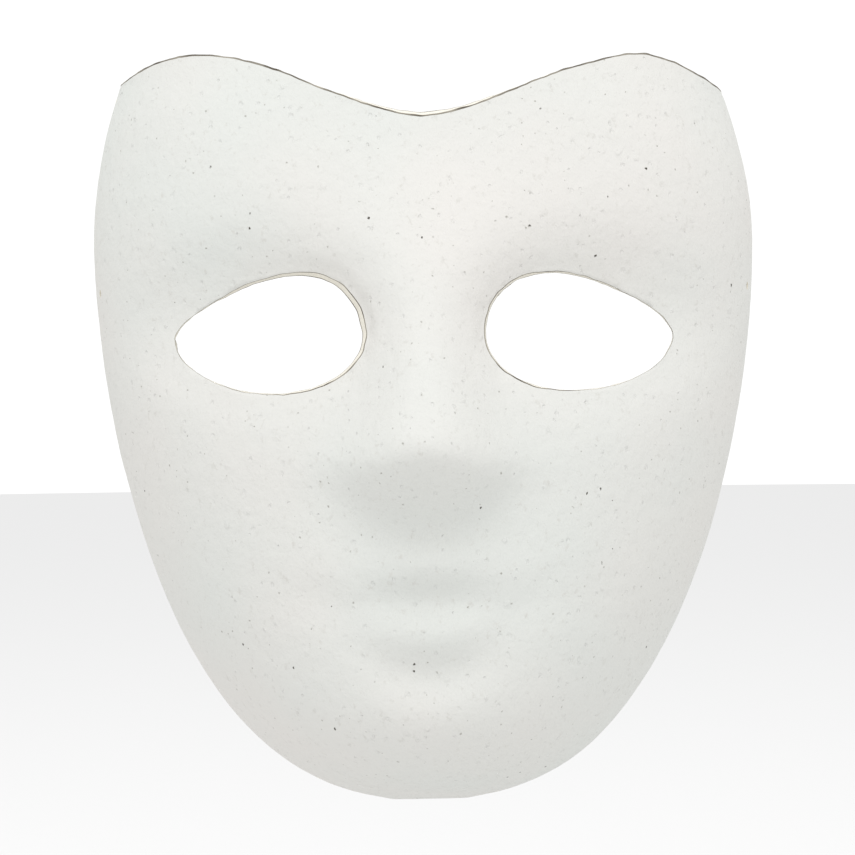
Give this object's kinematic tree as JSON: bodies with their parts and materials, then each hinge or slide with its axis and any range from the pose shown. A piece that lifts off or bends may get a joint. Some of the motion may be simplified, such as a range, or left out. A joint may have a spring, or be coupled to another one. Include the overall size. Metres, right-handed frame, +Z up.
{
  "type": "blank full-face paper pulp mask",
  "caption": "Blank full-face mask of moulded paper pulp: thin white shell with a heart-shaped top edge, almond eye openings, soft nose, lips and chin, and strap holes.",
  "frame": {"origin": "midway between the two strap holes, on the midline, 5 mm in front of the flat rear rim", "axes": "+X across the face, +Z up to the brow, and the face looks along -Y"},
  "size_m": [0.1686, 0.0694, 0.1863],
  "materials": {
    "moulded_pulp": "matte, unpainted, slightly rough"
  },
  "bodies": {
    "root": {"pulp_shell": "moulded_pulp"}
  },
  "joints": []
}
